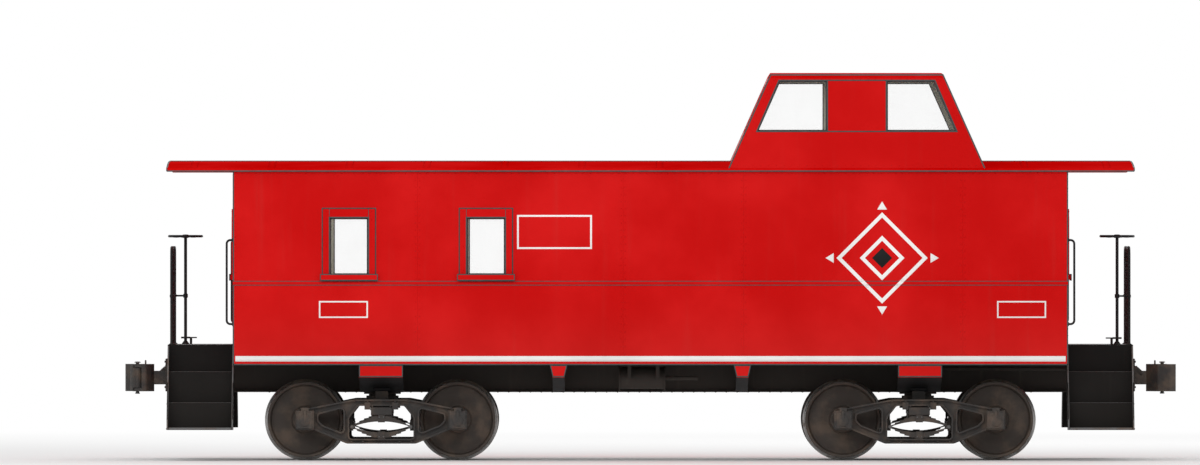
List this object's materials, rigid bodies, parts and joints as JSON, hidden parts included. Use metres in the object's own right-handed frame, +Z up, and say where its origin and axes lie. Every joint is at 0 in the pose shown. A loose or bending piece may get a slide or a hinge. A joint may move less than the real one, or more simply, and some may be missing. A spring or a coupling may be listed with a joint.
{
  "type": "cupola caboose",
  "caption": "Red eight-wheel cupola caboose with end platforms, swivelling trucks, swinging end doors and knuckle couplers.",
  "frame": {"origin": "midway between the trucks, on the centreline, at the level of the wheel flanges' lowest point", "axes": "+X towards the cupola end, +Y to the left, +Z up"},
  "size_m": [11.5832, 2.966, 4.2608],
  "materials": {
    "body_paint": "satin",
    "frame_paint": "satin",
    "running_gear": "rough",
    "wheel_steel": "rough, bright on the tread",
    "window_glass": "clear",
    "timber": "varnished",
    "upholstery": "worn"
  },
  "bodies": {
    "car_body": {"air_brakes": "running_gear", "belt_rails": "body_paint", "body_bolsters": "body_paint", "brake_pipes": "running_gear", "bunk_cushions": "upholstery", "bunks": "timber", "cabin_glass": "window_glass", "centre_plates": "running_gear", "centre_sill": "frame_paint", "cupola_cushions": "upholstery", "cupola_end_walls": "body_paint", "cupola_glass": "window_glass", "cupola_lockers": "timber", "cupola_roof": "body_paint", "cupola_side_walls": "body_paint", "desk": "timber", "door_hinges": "frame_paint", "draft_gears": "running_gear", "end_platforms": "frame_paint", "end_sills": "frame_paint", "end_walls": "body_paint", "floor": "timber", "hand_brakes": "frame_paint", "handrails": "frame_paint", "main_roof": "body_paint", "needle_beams": "body_paint", "side_sills": "frame_paint", "side_walls": "body_paint", "steps": "frame_paint", "strikers": "frame_paint", "window_frames": "body_paint"},
    "front_truck": {"front_truck_side_frames": "running_gear", "front_truck_bolster": "running_gear", "front_truck_springs": "running_gear", "front_truck_brakes": "running_gear"},
    "front_coupler": {"front_coupler": "running_gear"},
    "front_knuckle": {"front_knuckle": "running_gear"},
    "front_door": {"front_door": "body_paint", "front_door_glass": "window_glass"},
    "rear_truck": {"rear_truck_side_frames": "running_gear", "rear_truck_bolster": "running_gear", "rear_truck_springs": "running_gear", "rear_truck_brakes": "running_gear"},
    "rear_coupler": {"rear_coupler": "running_gear"},
    "rear_knuckle": {"rear_knuckle": "running_gear"},
    "rear_door": {"rear_door": "body_paint", "rear_door_glass": "window_glass"},
    "first_wheelset": {"first_axle": "wheel_steel", "first_wheels": "wheel_steel"},
    "second_wheelset": {"second_axle": "wheel_steel", "second_wheels": "wheel_steel"},
    "third_wheelset": {"third_axle": "wheel_steel", "third_wheels": "wheel_steel"},
    "fourth_wheelset": {"fourth_axle": "wheel_steel", "fourth_wheels": "wheel_steel"}
  },
  "joints": [
    {"name": "first_wheelset_spin", "type": "hinge", "parent": "front_truck", "child": "first_wheelset", "pos_m": [3.79, 0, 0.446], "axis": [0, 1, 0], "continuous": true},
    {"name": "second_wheelset_spin", "type": "hinge", "parent": "front_truck", "child": "second_wheelset", "pos_m": [2.114, 0, 0.446], "axis": [0, 1, 0], "continuous": true},
    {"name": "third_wheelset_spin", "type": "hinge", "parent": "rear_truck", "child": "third_wheelset", "pos_m": [-3.79, 0, 0.446], "axis": [0, 1, 0], "continuous": true},
    {"name": "fourth_wheelset_spin", "type": "hinge", "parent": "rear_truck", "child": "fourth_wheelset", "pos_m": [-2.114, 0, 0.446], "axis": [0, 1, 0], "continuous": true},
    {"name": "front_truck_swivel", "type": "hinge", "parent": "car_body", "child": "front_truck", "pos_m": [2.952, 0, 0.69], "axis": [0, 0, 1], "range_deg": [-8, 8]},
    {"name": "rear_truck_swivel", "type": "hinge", "parent": "car_body", "child": "rear_truck", "pos_m": [-2.952, 0, 0.69], "axis": [0, 0, 1], "range_deg": [-8, 8]},
    {"name": "front_door_swing", "type": "hinge", "parent": "car_body", "child": "front_door", "pos_m": [4.476, 0.338, 2.2], "axis": [0, 0, 1], "range_deg": [-95, 0]},
    {"name": "rear_door_swing", "type": "hinge", "parent": "car_body", "child": "rear_door", "pos_m": [-4.476, -0.338, 2.2], "axis": [0, 0, 1], "range_deg": [-95, 0]},
    {"name": "front_coupler_swing", "type": "hinge", "parent": "car_body", "child": "front_coupler", "pos_m": [4.7, 0, 0.903], "axis": [0, 0, 1], "range_deg": [-7, 7]},
    {"name": "rear_coupler_swing", "type": "hinge", "parent": "car_body", "child": "rear_coupler", "pos_m": [-4.7, 0, 0.903], "axis": [0, 0, 1], "range_deg": [-7, 7]},
    {"name": "front_knuckle_swing", "type": "hinge", "parent": "front_coupler", "child": "front_knuckle", "pos_m": [5.65, 0.125, 0.903], "axis": [0, 0, 1], "range_deg": [0, 45]},
    {"name": "rear_knuckle_swing", "type": "hinge", "parent": "rear_coupler", "child": "rear_knuckle", "pos_m": [-5.65, -0.125, 0.903], "axis": [0, 0, 1], "range_deg": [0, 45]}
  ]
}
